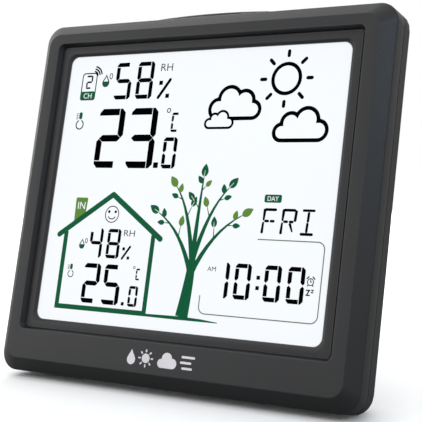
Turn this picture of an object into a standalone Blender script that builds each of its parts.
"""Home weather station: a desk display that leans back on a fold-out stand.

Every piece is modelled in the case's own frame, in millimetres: x to the right, y back from the
front face, z up from the case's bottom edge.  The empty "case_frame" leans that frame back and
sets it on the table, and the mesh helpers turn millimetres into metres.
"""
import math

import bmesh
import bpy
from mathutils import Vector

# --- driving dimensions, in millimetres and degrees ---------------------------------------------
MM = 0.001
LEAN = math.radians(13)             # the case leans back from upright
GAP = 0.3                           # between pieces that touch
CORNER_STEPS = 5                    # faces round each case corner

CASE_HALF = 70.0                    # half of the case's width
CASE_HEIGHT = 127.2
CASE_RADIUS = 6.5
BACK = 26.0                         # depth of the flat back
CHAMFER_WIDTH = 4.4                 # bevel round the front face
CHAMFER_DEPTH = 3.8
PARTING = 9.35                      # depth of the joint between bezel and rear cover
TAPER_START = 13.5                  # where the rear cover starts to draw in
TAPER_RUN = (14.5, 24.6)            # depths where the sloping part of the back starts and ends
TAPER_INSET = (0.35, 5.6)           # how far it has drawn in there
BACK_INSET = 7.0                    # and how far at the flat back
WALL = 2.2

# rounded rectangles: half width, lowest, highest and corner radius
MOUTH = (61.2, 14.8, 119.3, 2.2)    # of the recess, in the front face
SHELF = (60.15, 15.75, 118.4, 1.5)  # sunk border round the display
LIP = (57.25, 17.85, 115.7, 3.0)    # where the border drops to the display
WINDOW = (56.05, 19.0, 114.7, 3.0)  # visible part of the display
SHELF_DEPTH = 2.0
DISPLAY_DEPTH = 3.0                 # front of the display glass

GLASS_HALF = 58.6
GLASS_LOW = 12.0
GLASS_HIGH = 117.4
LAYER_LOW = 16.4                    # film, light guide and reflector
LAYER_HIGH = 117.0
HOLDER_HALF = 60.9
HOLDER_LOW = 10.6
HOLDER_HIGH = 119.6
HOLDER_PLATE = (8.9, 10.1)          # front and back of the holder's plate
HOLDER_EAR = 65.8                   # how far its screw ears reach
BOARD_PLATE = (11.0, 12.2)
BOARD_HALF = 48.0
BOARD_LOW = 12.2
BOARD_HIGH = 57.0

HINGE_Y = 23.6                      # stand hinge
HINGE_Z = 57.0
OPEN_ANGLE = math.radians(30)
STAND_HALF = 21.9
STAND_THICK = 2.6
STAND_SINK = 0.4                    # how far the folded stand lies below the back
KNUCKLE = 2.1
PIN_RADIUS = 1.2
PIN_HOLE_RADIUS = 1.5
PIN_REACH = 23.5
GRIP_RADIUS = 7.0                   # thumb recess in the stand
GRIP_DROP = 38.0                    # below the hinge
GRIP_DEPTH = 0.9
CHANNEL_FLOOR = 21.0
CHANNEL_FOOT = 15.1                 # how far forward the channel reaches at its lower end

CELL_RADIUS = 5.15                  # size AAA
CELL_LENGTH = 44.5
CELL_NUB = 25.9                     # how far from the middle the plus end reaches
CELL_Y = 18.75
CELL_ROWS = (71.9, 83.5, 95.1)
BAY_HALF = 27.2
BAY_LOW = 65.8
BAY_HIGH = 101.2
BAY_FLOOR = 13.2
DOOR_HALF = 28.7
DOOR_LOW = 64.3
DOOR_HIGH = 102.7
DOOR_THICK = 1.6
CONTACT_PLATE = (26.3, 26.8)        # across the case
CONTACT_REACH = 4.6                 # above and below a cell's axis
LEAD_RADIUS = 0.6

KEY_X = 48.0
KEY_LOW = 44.0
KEY_PITCH = 13.2
KEY_HOLE = (7.8, 3.3, 3.2)          # half width, half height and corner radius
KEY_FOOT = 22.2                     # front end of a key's stem
KEY_NAMES = ("channel_key", "memory_key", "down_key", "up_key", "set_key")

SNOOZE_HALF = 23.5
SNOOZE_Y = (6.3, 12.3)
SNOOZE_RISE = 2.0
SNOOZE_CROWN = 360.0                # radius of the button's long crown

CASE_SCREWS = ((-54.0, 16.0), (54.0, 16.0), (-54.0, 111.0), (54.0, 111.0))
HOLDER_SCREWS = ((-63.4, 30.0), (63.4, 30.0), (-63.4, 98.0), (63.4, 98.0))
BOARD_SCREWS = ((-42.0, 52.0), (42.0, 52.0))
BOSS_RADIUS = 3.8
SINK_RADIUS = 2.9
VENT = (-48.0, 34.0)                # middle of the lowest of the vent slots
VENT_COUNT = 7
VENT_PITCH = 3.6
BUZZER = (-46.0, 88.0)
SOUND_COUNT = 4
SOUND_PITCH = 3.2
FOOT_X = 50.0
FOOT_SIZE = (16.0, 4.0, 3.4)
KEYHOLE_Z = 111.5
KEYHOLE_RADIUS = 3.4
KEYHOLE_SLOT = (1.7, 6.2)           # half width, and height above the round part
OUTSIDE = 2.0                       # how far a cutter runs out past the back

SIN_LEAN = math.sin(LEAN)
COS_LEAN = math.cos(LEAN)
RIDE_HEIGHT = TAPER_START * SIN_LEAN + 0.3      # case frame above the table
FRONT_REACH = CHAMFER_WIDTH * SIN_LEAN
BACK_REACH = BACK * COS_LEAN + (CASE_HEIGHT - BACK_INSET) * SIN_LEAN
CASE_SHIFT = -(FRONT_REACH + BACK_REACH) / 2    # centres the object over its origin
SLOPE = Vector((TAPER_RUN[1] - TAPER_RUN[0], TAPER_INSET[1] - TAPER_INSET[0])).normalized()
INWARD = Vector((-SLOPE.y, SLOPE.x))


# --- scene and materials ------------------------------------------------------------------------
def clear_scene():
    for obj in list(bpy.data.objects):
        bpy.data.objects.remove(obj)


def material(name, colour, roughness, metallic=0.0):
    found = bpy.data.materials.get(name)
    if found:
        return found
    made = bpy.data.materials.new(name)
    made.use_nodes = True
    shader = made.node_tree.nodes["Principled BSDF"]
    shader.inputs["Base Color"].default_value = (*colour, 1.0)
    shader.inputs["Roughness"].default_value = roughness
    shader.inputs["Metallic"].default_value = metallic
    return made


def case_plastic():
    return material("case_plastic", (0.052, 0.052, 0.055), 0.5)


def key_plastic():
    return material("key_plastic", (0.04, 0.04, 0.042), 0.42)


def inner_plastic():
    return material("inner_plastic", (0.75, 0.75, 0.72), 0.5)


def display_glass():
    return material("display_glass", (0.93, 0.96, 0.97), 0.15)


def clear_acrylic():
    return material("clear_acrylic", (0.9, 0.93, 0.95), 0.1)


def white_film():
    return material("white_film", (0.93, 0.93, 0.93), 0.6)


def board_laminate():
    return material("board_laminate", (0.03, 0.2, 0.08), 0.45)


def chip_resin():
    return material("chip_resin", (0.02, 0.02, 0.02), 0.35)


def rubber():
    return material("rubber", (0.025, 0.025, 0.025), 0.85)


def steel():
    return material("steel", (0.6, 0.6, 0.6), 0.3, 1.0)


def brass():
    return material("brass", (0.75, 0.55, 0.25), 0.3, 1.0)


def cell_jacket():
    return material("cell_jacket", (0.08, 0.12, 0.3), 0.35)


def silicone():
    return material("silicone", (0.8, 0.75, 0.72), 0.7)


def lead_colour(name):
    return material(name, (0.5, 0.02, 0.02) if name == "red_pvc" else (0.02, 0.02, 0.02), 0.5)


# --- mesh helpers -------------------------------------------------------------------------------
def finish(name, bm, paint, parent):
    """Store the bmesh, in metres, as an object that is shaded smooth up to its sharp edges."""
    bmesh.ops.scale(bm, vec=(MM, MM, MM), verts=bm.verts)
    bmesh.ops.recalc_face_normals(bm, faces=bm.faces)
    mesh = bpy.data.meshes.new(name)
    bm.to_mesh(mesh)
    bm.free()
    mesh.shade_smooth()
    mesh.set_sharp_from_angle(angle=math.radians(35))
    mesh.materials.append(paint)
    obj = bpy.data.objects.new(name, mesh)
    bpy.context.scene.collection.objects.link(obj)
    obj.parent = parent
    return obj


def skin(name, loops, paint, parent, ring=False):
    """Join loops of equally many points, then close the ends, or join them for a ring."""
    bm = bmesh.new()
    rows = [[bm.verts.new(point) for point in loop] for loop in loops]
    pairs = list(zip(rows, rows[1:]))
    if ring:
        pairs.append((rows[-1], rows[0]))
    for first, second in pairs:
        for i in range(len(first)):
            j = (i + 1) % len(first)
            bm.faces.new((first[i], first[j], second[j], second[i]))
    if not ring:
        bm.faces.new(rows[0])
        bm.faces.new(rows[-1])
    return finish(name, bm, paint, parent)


def rounded(half, low, high, radius, steps=CORNER_STEPS):
    """Points (x, z) of a rounded rectangle that is centred across."""
    centres = ((half - radius, low + radius, -90), (half - radius, high - radius, 0),
               (radius - half, high - radius, 90), (radius - half, low + radius, 180))
    points = []
    for x, z, start in centres:
        for step in range(steps + 1):
            turn = math.radians(start + 90 * step / steps)
            points.append((x + radius * math.cos(turn), z + radius * math.sin(turn)))
    return points


def upright(half, low, high, radius, depth, x=0.0, steps=CORNER_STEPS):
    """A rounded rectangle that faces the front, at one depth."""
    return [(x + across, depth, up) for across, up in rounded(half, low, high, radius, steps)]


def inset_loop(inset, depth, radius=None):
    """The case's outline drawn in by the same amount all round."""
    corner = max(CASE_RADIUS - inset * 0.45, 2.0) if radius is None else radius
    return upright(CASE_HALF - inset, inset, CASE_HEIGHT - inset, corner, depth)


def box(name, low, high, paint=None, parent=None):
    bm = bmesh.new()
    bmesh.ops.create_cube(bm, size=1.0)
    size = [b - a for a, b in zip(low, high)]
    middle = [(a + b) / 2 for a, b in zip(low, high)]
    bmesh.ops.scale(bm, vec=size, verts=bm.verts)
    bmesh.ops.translate(bm, vec=middle, verts=bm.verts)
    return finish(name, bm, paint or case_plastic(), parent)


def bar(name, points, x_low, x_high, paint, parent):
    """A (y, z) outline drawn out across the case."""
    loops = [[(x, y, z) for y, z in points] for x in (x_low, x_high)]
    return skin(name, loops, paint, parent)


def turned(name, profile, centre, paint, parent, axis="y", sides=14):
    """Circles (radius, place along the axis) round a centre, joined into one round piece."""
    loops = []
    for radius, along in profile:
        loop = []
        for i in range(sides):
            turn = math.tau * i / sides
            a, b = radius * math.cos(turn), radius * math.sin(turn)
            spot = {"x": (along, a, b), "y": (a, along, b), "z": (a, b, along)}[axis]
            loop.append(Vector(spot) + Vector(centre))
        loops.append(loop)
    return skin(name, loops, paint, parent)


def combine(target, tool, operation):
    """Cut the tool out of the target, or weld it on, and keep the tool as a wire guide."""
    step = target.modifiers.new(tool.name, "BOOLEAN")
    step.operation = operation
    step.object = tool
    step.solver = "EXACT"
    tool.hide_render = True
    tool.display_type = "WIRE"


def cut(target, tools):
    for tool in tools:
        combine(target, tool, "DIFFERENCE")


def weld(target, tools):
    for tool in tools:
        combine(target, tool, "UNION")


# --- front --------------------------------------------------------------------------------------
def make_bezel(frame):
    side = PARTING - GAP / 2
    loops = [
        upright(*MOUTH, 0.0),
        inset_loop(CHAMFER_WIDTH, 0.0, 4.5),
        inset_loop(0.0, CHAMFER_DEPTH),
        inset_loop(0.0, side),
        inset_loop(WALL, side),
        inset_loop(WALL, 5.0),
        inset_loop(WALL + 3.2, DISPLAY_DEPTH - GAP, 4.0),
        upright(*WINDOW, DISPLAY_DEPTH - GAP),
        upright(*LIP, SHELF_DEPTH),
        upright(*SHELF, SHELF_DEPTH),
    ]
    bezel = skin("front_bezel", loops, case_plastic(), frame, ring=True)
    for i, (x, z) in enumerate(HOLDER_SCREWS):
        weld(bezel, [turned(f"bezel_boss_{i}", ((2.2, 2.2), (2.2, 8.6)), (x, 0, z),
                            case_plastic(), frame, sides=12)])
        cut(bezel, [turned(f"bezel_pilot_{i}", ((1.1, 4.6), (1.1, 9.0)), (x, 0, z),
                           case_plastic(), frame, sides=10)])
    cut(bezel, [snooze_notch("bezel_notch", frame)])
    return bezel


def snooze_notch(name, frame):
    low = (-SNOOZE_HALF - GAP, SNOOZE_Y[0] - GAP, 121.5)
    high = (SNOOZE_HALF + GAP, SNOOZE_Y[1] + GAP, 131.0)
    return box(name, low, high, parent=frame)


def make_display(frame):
    flat = {
        "lcd_front_glass": (GLASS_LOW, GLASS_HALF, GLASS_HIGH, DISPLAY_DEPTH, 1.0, display_glass()),
        "lcd_rear_glass": (16.0, GLASS_HALF, GLASS_HIGH, 4.3, 1.0, display_glass()),
        "print_film": (LAYER_LOW, 58.0, LAYER_HIGH, 5.6, 0.3, white_film()),
        "light_guide": (LAYER_LOW, 56.6, LAYER_HIGH, 6.2, 1.8, clear_acrylic()),
        "reflector_sheet": (LAYER_LOW, 56.6, LAYER_HIGH, 8.3, 0.3, white_film()),
    }
    for name, (low, half, high, depth, thick, paint) in flat.items():
        box(name, (-half, depth, low), (half, depth + thick, high), paint, frame)
    box("backlight_led_bar", (-59.4, 6.2, 30.0), (-57.2, 8.2, 105.0), board_laminate(), frame)
    box("zebra_strip", (-45.0, 4.3, 12.6), (45.0, 10.7, 15.0), silicone(), frame)


def make_holder(frame):
    """The inner frame that clamps the display stack to the bezel and carries the boards."""
    plate_front, plate_back = HOLDER_PLATE
    rim = 1.1
    loops = [
        upright(HOLDER_HALF, HOLDER_LOW, HOLDER_HIGH, 1.5, plate_back, steps=2),
        upright(HOLDER_HALF, HOLDER_LOW, HOLDER_HIGH, 1.5, DISPLAY_DEPTH, steps=2),
        upright(HOLDER_HALF - rim, HOLDER_LOW + rim, HOLDER_HIGH - rim, 0.5, DISPLAY_DEPTH, steps=2),
        upright(HOLDER_HALF - rim, HOLDER_LOW + rim, HOLDER_HIGH - rim, 0.5, plate_front, steps=2),
    ]
    holder = skin("lcd_holder", loops, inner_plastic(), frame)
    for i, (x, z) in enumerate(HOLDER_SCREWS):
        inner = math.copysign(HOLDER_HALF - 0.8, x)
        outer = math.copysign(HOLDER_EAR, x)
        ear = box(f"holder_ear_{i}", (min(inner, outer), plate_front + 0.1, z - 3),
                  (max(inner, outer), plate_back - 0.1, z + 3), parent=frame)
        weld(holder, [ear])
        cut(holder, [turned(f"holder_hole_{i}", ((1.1, 8.0), (1.1, 11.0)), (x, 0, z),
                            inner_plastic(), frame, sides=10)])
    for i, (x, z) in enumerate(CASE_SCREWS):
        weld(holder, [turned(f"holder_boss_{i}", ((3.25, 9.5), (3.25, 16.0)), (x, 0, z),
                             inner_plastic(), frame)])
        cut(holder, [turned(f"holder_pilot_{i}", ((1.5, 10.6), (1.5, 17.0)), (x, 0, z),
                            inner_plastic(), frame, sides=10)])
    cut(holder, [box("zebra_slot", (-45.4, 8.0, 12.2), (45.4, 11.0, 15.4), parent=frame)])
    return holder


def make_screw(name, place, head_y, length, head_radius, shank_radius, head_height, frame):
    x, z = place
    profile = ((shank_radius * 0.5, head_y - length), (shank_radius, head_y - length + 1.0),
               (shank_radius, head_y), (head_radius, head_y),
               (head_radius, head_y + head_height * 0.6), (head_radius * 0.7, head_y + head_height))
    return turned(name, profile, (x, 0, z), steel(), frame, sides=12)


def make_screws(frame):
    for i, place in enumerate(CASE_SCREWS):
        make_screw(f"case_screw_{i + 1}", place, 18.2, 7.2, 2.5, 1.2, 1.8, frame)
    for i, place in enumerate(HOLDER_SCREWS):
        make_screw(f"holder_screw_{i + 1}", place, 10.4, 5.4, 1.9, 0.8, 1.2, frame)
    for i, place in enumerate(BOARD_SCREWS):
        make_screw(f"board_screw_{i + 1}", place, 12.5, 2.0, 2.0, 0.9, 1.2, frame)


# --- electronics --------------------------------------------------------------------------------
def make_boards(frame):
    front, back = BOARD_PLATE
    board = box("main_board", (-BOARD_HALF, front, BOARD_LOW), (BOARD_HALF, back, BOARD_HIGH),
                board_laminate(), frame)
    for i, (x, z) in enumerate(BOARD_SCREWS):
        cut(board, [turned(f"board_hole_{i}", ((1.3, 10.5), (1.3, 12.8)), (x, 0, z),
                           board_laminate(), frame, sides=10)])
    box("receiver_board", (-60, front, 64), (-34, back, 98), board_laminate(), frame)
    box("key_board", (37.5, 15.9, 36), (58.5, 17.1, 105), board_laminate(), frame)
    box("sensor_board", (-58, 17.6, 31), (-38, 18.8, 58), board_laminate(), frame)
    box("snooze_board", (-9, 10.4, 117.4), (9, 17.0, 118.4), board_laminate(), frame)


def make_components(frame):
    dome = ((6.5, 12.5), (6.2, 13.2), (5.0, 13.9), (3.0, 14.3))
    turned("controller_chip", dome, (0, 0, 34), chip_resin(), frame, sides=20)
    turned("clock_crystal", ((1.0, 0), (1.0, 6.0)), (18, 13.6, 32), steel(), frame, "z", 10)
    box("climate_sensor", (-50.5, 19.1, 42.5), (-45.5, 20.4, 47.5), white_film(), frame)
    plate = ((11.0, 20.9), (11.0, 23.3), (3.0, 23.8))
    turned("buzzer", plate, (BUZZER[0], 0, BUZZER[1]), chip_resin(), frame, sides=20)
    make_coil("receiver_coil", (-47, 15.6, 81), 2.5, 2.5, 0.35, 14.0, 8, brass(), frame)


def make_coil(name, start, radius, end_radius, wire, length, turns, paint, frame):
    """A wire wound round a line across the case, from a start point, with closed ends."""
    steps = turns * 10
    loops = []
    for i in range(steps + 1):
        share = i / steps
        turn = math.tau * turns * share
        reach = radius + (end_radius - radius) * share
        loop = []
        for k in range(6):
            around = math.tau * k / 6
            out = reach + wire * math.cos(around)
            along = length * share + wire * math.sin(around)
            loop.append(Vector((along, out * math.cos(turn), out * math.sin(turn))))
        loops.append([Vector(start) + point for point in loop])
    return skin(name, loops, paint, frame)


def switch(name, centre, foot, top, frame, axis):
    """A square push switch: a body, then its round plunger."""
    body, plunger = 3.0, 1.6
    rise = top - foot
    levels = ((body, 0.4, 0.0), (body, 0.4, rise - 0.8), (plunger, 1.59, rise - 0.8),
              (plunger, 1.59, rise))
    loops = []
    for half, radius, along in levels:
        outline = rounded(half, -half, half, radius, 3)
        if axis == "y":
            loops.append([(centre[0] + a, foot + along, centre[1] + b) for a, b in outline])
        else:
            loops.append([(centre[0] + a, centre[1] + b * 0.55, foot + along) for a, b in outline])
    return skin(name, loops, chip_resin(), frame)


def make_switches(frame):
    for i in range(len(KEY_NAMES)):
        switch(f"key_switch_{i + 1}", (KEY_X, KEY_LOW + i * KEY_PITCH), 17.4, 21.2, frame, "y")
    switch("snooze_switch", (0.0, 12.4), 118.7, 122.0, frame, "z")


# --- rear cover ---------------------------------------------------------------------------------
def slope_point(depth, offset):
    """A point (y, z) near the case's lower rear slope, set in from its outside."""
    share = (depth - TAPER_RUN[0]) / SLOPE.x
    return Vector((TAPER_RUN[0], TAPER_INSET[0])) + SLOPE * share + INWARD * offset


def meet_depth(depth, offset):
    """Where a line set in from the lower slope reaches a given depth."""
    start = slope_point(TAPER_RUN[0], offset)
    return (depth, start.y + (depth - start.x) * SLOPE.y / SLOPE.x)


def make_cover(frame):
    side = PARTING + GAP / 2
    loops = [
        inset_loop(BACK_INSET, BACK),
        inset_loop(TAPER_INSET[1], TAPER_RUN[1]),
        inset_loop(TAPER_INSET[0], TAPER_RUN[0]),
        inset_loop(0.0, TAPER_START),
        inset_loop(0.0, side),
        inset_loop(WALL + 0.35, side),
        inset_loop(WALL + 0.35, 7.8),
        inset_loop(WALL + 1.6, 7.8),
        inset_loop(WALL + 1.6, 10.6),
        inset_loop(WALL, 11.6),
        inset_loop(WALL, 13.0),
        inset_loop(7.6, 23.4),
        inset_loop(9.0, BACK - 1.8),
    ]
    cover = skin("rear_cover", loops, case_plastic(), frame)
    weld(cover, [stand_housing(frame), battery_housing(frame)])
    for i, (x, z) in enumerate(CASE_SCREWS):
        weld(cover, [turned(f"cover_boss_{i}", ((BOSS_RADIUS, 16.3), (BOSS_RADIUS, 24.9)),
                            (x, 0, z), case_plastic(), frame)])
        sink = ((1.5, 15.8), (1.5, 17.9), (SINK_RADIUS, 17.9), (SINK_RADIUS, BACK + OUTSIDE))
        cut(cover, [turned(f"cover_sink_{i}", sink, (x, 0, z), case_plastic(), frame)])
    cut(cover, stand_cutters(frame) + battery_cutters(frame) + key_cutters(frame))
    cut(cover, vent_cutters(frame) + hanging_cutters(frame) + foot_cutters())
    cut(cover, [snooze_notch("cover_notch", frame),
                box("flange_notch", (-25.8, 7.0, 121.2), (25.8, 12.9, 125.25), parent=frame)])
    return cover


def stand_housing(frame):
    """The walls round the channel that the folded stand lies in."""
    top = BAY_LOW - 1.0
    low_edge = slope_point(TAPER_RUN[0], 1.0)
    high_edge = slope_point(TAPER_RUN[1], 1.0)
    points = [(CHANNEL_FLOOR - 1.5, top), meet_depth(CHANNEL_FLOOR - 1.5, 5.0),
              (12.6, 5.0), (12.6, 1.2), (low_edge.x, low_edge.y), (high_edge.x, high_edge.y),
              (25.0, 7.6), (25.0, top)]
    return bar("stand_housing", points, -24.2, 24.2, case_plastic(), frame)


def stand_cutters(frame):
    end = slope_point(CHANNEL_FOOT, -OUTSIDE)
    foot = slope_point(CHANNEL_FOOT, 3.5)
    points = [(CHANNEL_FLOOR, HINGE_Z + 4.2), meet_depth(CHANNEL_FLOOR, 3.5), (foot.x, foot.y),
              (end.x, end.y), (30.0, 3.0), (30.0, HINGE_Z + 4.2)]
    half = STAND_HALF + 0.5
    channel = bar("stand_channel", points, -half, half, case_plastic(), frame)
    holes = ((PIN_HOLE_RADIUS, -PIN_REACH - GAP), (PIN_HOLE_RADIUS, PIN_REACH + GAP))
    pins = turned("stand_pin_holes", holes, (0, HINGE_Y, HINGE_Z), case_plastic(), frame, "x", 12)
    return [channel, pins]


def battery_housing(frame):
    return box("battery_housing", (-BAY_HALF - 3.2, BAY_FLOOR - 1.4, BAY_LOW - 3.2),
               (BAY_HALF + 3.2, 25.0, BAY_HIGH + 3.2), parent=frame)


def battery_cutters(frame):
    well = box("battery_well", (-BAY_HALF, BAY_FLOOR, BAY_LOW), (BAY_HALF, BACK + OUTSIDE, BAY_HIGH),
               parent=frame)
    seat_half = DOOR_HALF + GAP
    seat = box("door_seat", (-seat_half, BACK - DOOR_THICK - GAP, DOOR_LOW - GAP),
               (seat_half, BACK + OUTSIDE, DOOR_HIGH + GAP), parent=frame)
    notch = box("finger_notch", (-6, 24.7, DOOR_HIGH - 0.5), (6, BACK + OUTSIDE, DOOR_HIGH + 2.6),
                parent=frame)
    tails = [box("plus_tail_slot", (-BAY_HALF + 0.1, 13.7, BAY_LOW - 4), (-25.9, 16.3, BAY_LOW + 1),
                 parent=frame),
             box("minus_tail_slot", (25.9, 13.7, BAY_HIGH - 1), (BAY_HALF - 0.1, 16.3, BAY_HIGH + 4),
                 parent=frame)]
    return [well, seat, notch] + tails


def key_cutters(frame):
    half, tall, radius = KEY_HOLE
    holes = []
    for i in range(len(KEY_NAMES)):
        z = KEY_LOW + i * KEY_PITCH
        loops = [upright(half, z - tall, z + tall, radius, depth, KEY_X, 4)
                 for depth in (23.0, BACK + OUTSIDE)]
        holes.append(skin(f"key_hole_{i}", loops, case_plastic(), frame))
    return holes


def vent_cutters(frame):
    depths = (23.0, BACK + OUTSIDE)
    slots = []
    for i in range(VENT_COUNT):
        slots.append(slot(f"vent_slot_{i}", (VENT[0], VENT[1] + VENT_PITCH * i), (9.0, 0.7), depths,
                          frame))
    for i in range(SOUND_COUNT):
        x = BUZZER[0] + SOUND_PITCH * (i - (SOUND_COUNT - 1) / 2)
        slots.append(slot(f"sound_slot_{i}", (x, BUZZER[1]), (0.6, 5.0), depths, frame))
    return slots


def slot(name, middle, halves, depths, frame):
    """A straight cutter through the back: its middle and half sizes across and up."""
    (x, z), (half, tall) = middle, halves
    return box(name, (x - half, depths[0], z - tall), (x + half, depths[1], z + tall), parent=frame)


def hanging_cutters(frame):
    """A keyhole that drops over a screw head in the wall."""
    half, rise = KEYHOLE_SLOT
    depths = (22.5, BACK + OUTSIDE)
    head = turned("keyhole_head", [(KEYHOLE_RADIUS, depth) for depth in depths], (0, 0, KEYHOLE_Z),
                  case_plastic(), frame)
    loops = [upright(half, KEYHOLE_Z, KEYHOLE_Z + rise, half - 0.01, depth, steps=4)
             for depth in depths]
    return [head, skin("keyhole_slot", loops, case_plastic(), frame)]


def foot_box(name, side, grow, paint):
    """A foot, or its pocket, set square to the table, under the case's lower rear edge."""
    width, depth, height = FOOT_SIZE
    front = CASE_SHIFT + TAPER_START * COS_LEAN
    low = (side * FOOT_X - width / 2 - grow, front + 0.2 - grow, -grow * 4)
    high = (side * FOOT_X + width / 2 + grow, front + 0.2 + depth + grow, height + grow)
    return box(name, low, high, paint)


def foot_cutters():
    return [foot_box(f"foot_pocket_{i}", side, GAP, rubber()) for i, side in enumerate((-1, 1))]


def make_feet():
    foot_box("foot_left", -1, 0.0, rubber())
    foot_box("foot_right", 1, 0.0, rubber())


# --- batteries and their contacts ---------------------------------------------------------------
def make_batteries(frame):
    r = CELL_RADIUS
    nub = -CELL_NUB
    for i, z in enumerate(CELL_ROWS):
        way = 1 if i % 2 == 0 else -1
        profile = ((1.9, nub), (1.9, nub + 1.0), (r - 0.4, nub + 1.2), (r, nub + 1.6),
                   (r, nub + CELL_LENGTH - 0.5), (r - 0.6, nub + CELL_LENGTH))
        profile = [(radius, way * along) for radius, along in profile]
        turned(f"battery_{i + 1}", profile, (0, CELL_Y, z), cell_jacket(), frame, "x", 20)
        spring_start = nub + CELL_LENGTH + 0.8
        start = (way * spring_start, CELL_Y, z)
        make_coil(f"battery_spring_{i + 1}", start, 2.0, 3.6, 0.3, way * 6.2, 3, steel(), frame)


def make_contacts(frame):
    first, second, third = CELL_ROWS
    reach = CONTACT_REACH
    inner, outer = CONTACT_PLATE
    y_low, y_high = 14.0, 23.4
    tail = 16.0
    plates = {
        "contact_plus": (-1, [(y_low, BAY_LOW - reach), (tail, BAY_LOW - reach), (tail, first - reach),
                              (y_high, first - reach), (y_high, first + reach),
                              (y_low, first + reach)]),
        "contact_bridge_left": (-1, [(y_low, second - reach), (y_high, second - reach),
                                     (y_high, third + reach), (y_low, third + reach)]),
        "contact_bridge_right": (1, [(y_low, first - reach), (y_high, first - reach),
                                     (y_high, second + reach), (y_low, second + reach)]),
        "contact_minus": (1, [(y_low, third - reach), (y_high, third - reach),
                              (y_high, third + reach), (tail, third + reach),
                              (tail, BAY_HIGH + reach), (y_low, BAY_HIGH + reach)]),
    }
    for name, (side, points) in plates.items():
        bar(name, points, side * inner, side * outer, steel(), frame)


def make_lead(name, points, colour, frame):
    """A thin insulated wire that the case holds, along a smooth path."""
    data = bpy.data.curves.new(name, "CURVE")
    data.dimensions = "3D"
    data.bevel_depth = LEAD_RADIUS * MM
    data.bevel_resolution = 2
    data.use_fill_caps = True
    path = data.splines.new("POLY")
    smooth = smooth_path(points, 6)
    path.points.add(len(smooth) - 1)
    for target, point in zip(path.points, smooth):
        target.co = (*(point * MM), 1.0)
    data.materials.append(lead_colour(colour))
    obj = bpy.data.objects.new(name, data)
    bpy.context.scene.collection.objects.link(obj)
    obj.parent = frame
    return obj


def smooth_path(points, steps):
    """Catmull-Rom points through a short list of route points."""
    route = [Vector(p) for p in points]
    route = [route[0] * 2 - route[1]] + route + [route[-1] * 2 - route[-2]]
    smooth = []
    for a, b, c, d in zip(route, route[1:], route[2:], route[3:]):
        for i in range(steps):
            t = i / steps
            smooth.append(0.5 * (2 * b + (c - a) * t + (2 * a - 5 * b + 4 * c - d) * t * t
                                 + (3 * b - a - 3 * c + d) * t ** 3))
    smooth.append(route[-2])
    return smooth


def make_leads(frame):
    plus = [(-26.5, 15.0, BAY_LOW - 5.6), (-26.5, 15.4, BAY_LOW - 8), (-25.5, 15.6, 53),
            (-24, 14.6, 49), (-24, 13.3, 47.5)]
    minus = [(26.5, 15.0, BAY_HIGH + 5.6), (27.5, 15.2, BAY_HIGH + 7.5), (30.5, 15.4, 107.5),
             (33.3, 15.4, 102), (33.6, 15.4, 88), (33.6, 15.4, 70), (33, 15.4, 58),
             (31, 14.6, 51), (31, 13.3, 49)]
    make_lead("battery_lead_plus", plus, "red_pvc", frame)
    make_lead("battery_lead_minus", minus, "black_pvc", frame)


# --- moving pieces ------------------------------------------------------------------------------
def make_hinge(name, frame, y, z, angle=0.0):
    """An empty on a hinge's axis, turned by the angle the piece has at rest."""
    pivot = bpy.data.objects.new(name, None)
    bpy.context.scene.collection.objects.link(pivot)
    pivot.parent = frame
    pivot.location = (0.0, y * MM, z * MM)
    pivot.rotation_euler = (angle, 0.0, 0.0)
    return pivot


def pad_line(offset):
    """How far down the lower slope, at this offset, the open stand meets the table."""
    tilt = OPEN_ANGLE - LEAN
    height = HINGE_Z * COS_LEAN - HINGE_Y * SIN_LEAN + RIDE_HEIGHT
    start = slope_point(TAPER_RUN[1], offset) - Vector((HINGE_Y, HINGE_Z))
    drop = height + start.x * math.sin(tilt) + start.y * math.cos(tilt)
    return drop / (SLOPE.x * math.sin(tilt) + SLOPE.y * math.cos(tilt))


def from_hinge(offset, run):
    """A point (y, z) from the hinge: down the lower slope from its upper end."""
    return slope_point(TAPER_RUN[1], offset) - SLOPE * run - Vector((HINGE_Y, HINGE_Z))


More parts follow.
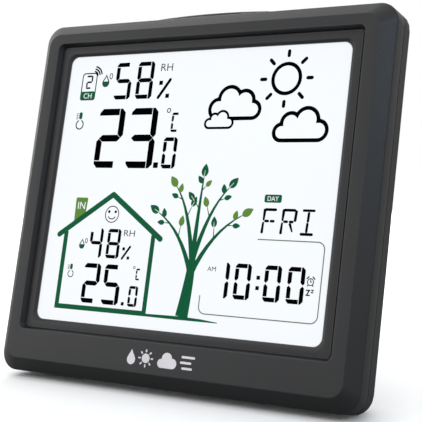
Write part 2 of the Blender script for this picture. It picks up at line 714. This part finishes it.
def make_stand(frame):
    pivot = make_hinge("stand_hinge", frame, HINGE_Y, HINGE_Z, OPEN_ANGLE)
    skin_gap = STAND_SINK
    outer_y = BACK - skin_gap - HINGE_Y
    inner_y = outer_y - STAND_THICK
    leg_end = pad_line(skin_gap) - 1.0
    outer_bend = (outer_y, meet_depth(HINGE_Y + outer_y, skin_gap)[1] - HINGE_Z)
    inner_bend = (inner_y, meet_depth(HINGE_Y + inner_y, skin_gap + STAND_THICK)[1] - HINGE_Z)
    first = -math.pi - math.asin(inner_y / KNUCKLE)
    last = math.pi - math.asin(outer_y / KNUCKLE)
    turns = [first + (last - first) * i / 12 for i in range(13)]
    arc = [(KNUCKLE * math.sin(turn), KNUCKLE * math.cos(turn)) for turn in turns]
    outer = [outer_bend, tuple(from_hinge(skin_gap, leg_end))]
    inner = [tuple(from_hinge(skin_gap + STAND_THICK, leg_end)), inner_bend]
    stand = bar("stand", outer + inner + arc, -STAND_HALF, STAND_HALF, case_plastic(), pivot)
    pins = turned("stand_pins", ((PIN_RADIUS, -PIN_REACH), (PIN_RADIUS, PIN_REACH)), (0, 0, 0),
                  case_plastic(), pivot, "x", 12)
    weld(stand, [pins])
    grip = turned("stand_grip", ((GRIP_RADIUS, outer_y - GRIP_DEPTH), (GRIP_RADIUS, outer_y + 4)),
                  (0, 0, -GRIP_DROP), case_plastic(), pivot, sides=20)
    cut(stand, [grip])

    inner_offset = skin_gap + STAND_THICK
    pad = [from_hinge(skin_gap, leg_end + GAP), from_hinge(skin_gap, pad_line(skin_gap)),
           from_hinge(inner_offset, pad_line(inner_offset)), from_hinge(inner_offset, leg_end + GAP)]
    bar("stand_pad", [tuple(p) for p in pad], -STAND_HALF + 2, STAND_HALF - 2, rubber(), pivot)


def make_door(frame):
    """A flat door that turns on its rounded lower edge."""
    radius = DOOR_THICK / 2
    pivot = make_hinge("door_hinge", frame, BACK - radius, DOOR_LOW + radius)
    height = DOOR_HIGH - DOOR_LOW - radius
    arc = [(radius * math.cos(t), radius * math.sin(t))
           for t in [-math.pi * i / 8 for i in range(9)]]
    points = arc + [(-radius, height), (radius - 0.3, height), (radius, height - 0.3)]
    door = bar("battery_door", points, -DOOR_HALF, DOOR_HALF, case_plastic(), pivot)
    for i in range(3):
        z = height - 6.5 - 2.2 * i
        cut(door, [box(f"door_rib_{i}", (-7, radius - 0.5, z - 0.6), (7, radius + 1, z + 0.6),
                       parent=pivot)])
    return door


def make_keys(frame):
    """Five keys: a stem, a flange behind the cover, and a rounded cap through it."""
    for i, name in enumerate(KEY_NAMES):
        z = KEY_LOW + i * KEY_PITCH
        shape = ((2.4, 1.8, 1.0, 0.0), (2.4, 1.8, 1.0, 0.7), (8.6, 3.8, 1.5, 0.7),
                 (8.6, 3.8, 1.5, 1.7), (7.5, 3.0, 2.9, 1.7), (7.5, 3.0, 2.9, 4.1),
                 (7.1, 2.6, 2.5, 4.6))
        loops = [upright(half, -tall, tall, radius, rise, steps=4)
                 for half, tall, radius, rise in shape]
        key = skin(name, loops, key_plastic(), frame)
        key.location = (KEY_X * MM, KEY_FOOT * MM, z * MM)


def long_outline(half, y_low, y_high, radius, pieces=10):
    """A rounded rectangle whose two long sides are divided, so that a crown can bend them."""
    corners = rounded(half, y_low, y_high, radius, 3)
    points = []
    for i, (x, y) in enumerate(corners):
        points.append((x, y))
        after = corners[(i + 1) % len(corners)]
        if i in (len(corners) // 2 - 1, len(corners) - 1):
            points += [(x + (after[0] - x) * k / pieces, y) for k in range(1, pieces)]
    return points


def make_snooze(frame):
    """The long button on top: stem, flange, then a crowned cap."""
    y_low, y_high = SNOOZE_Y
    levels = ((2.6, 11.2, 12.1, 0.3, -4.0), (2.6, 11.2, 12.1, 0.3, -3.7),
              (25.4, y_low + 0.2, y_high - 0.2, 0.5, -3.7),
              (25.4, y_low + 0.2, y_high - 0.2, 0.5, -2.6),
              (SNOOZE_HALF, y_low, y_high, 1.5, -2.6), (SNOOZE_HALF, y_low, y_high, 1.5, 0.3),
              (SNOOZE_HALF, y_low, y_high, 1.5, SNOOZE_RISE - 0.8),
              (SNOOZE_HALF - 0.3, y_low + 0.3, y_high - 0.3, 1.4, SNOOZE_RISE - 0.25),
              (SNOOZE_HALF - 1.0, y_low + 1.0, y_high - 1.0, 1.2, SNOOZE_RISE),
              (SNOOZE_HALF - 3.5, y_low + 2.9, y_high - 2.9, 0.09, SNOOZE_RISE))
    loops = []
    for half, low, high, radius, rise in levels:
        loop = []
        for x, y in long_outline(half, low, high, radius):
            sag = x * x / (2 * SNOOZE_CROWN) if rise > 1.0 else 0.0
            loop.append((x, y, CASE_HEIGHT + rise - sag))
        loops.append(loop)
    return skin("snooze_button", loops, key_plastic(), frame)


def main():
    clear_scene()
    frame = bpy.data.objects.new("case_frame", None)
    bpy.context.scene.collection.objects.link(frame)
    frame.location = (0.0, CASE_SHIFT * MM, RIDE_HEIGHT * MM)
    frame.rotation_euler = (-LEAN, 0.0, 0.0)
    make_bezel(frame)
    make_display(frame)
    make_holder(frame)
    make_screws(frame)
    make_boards(frame)
    make_components(frame)
    make_switches(frame)
    make_cover(frame)
    make_feet()
    make_batteries(frame)
    make_contacts(frame)
    make_leads(frame)
    make_stand(frame)
    make_door(frame)
    make_keys(frame)
    make_snooze(frame)


main()
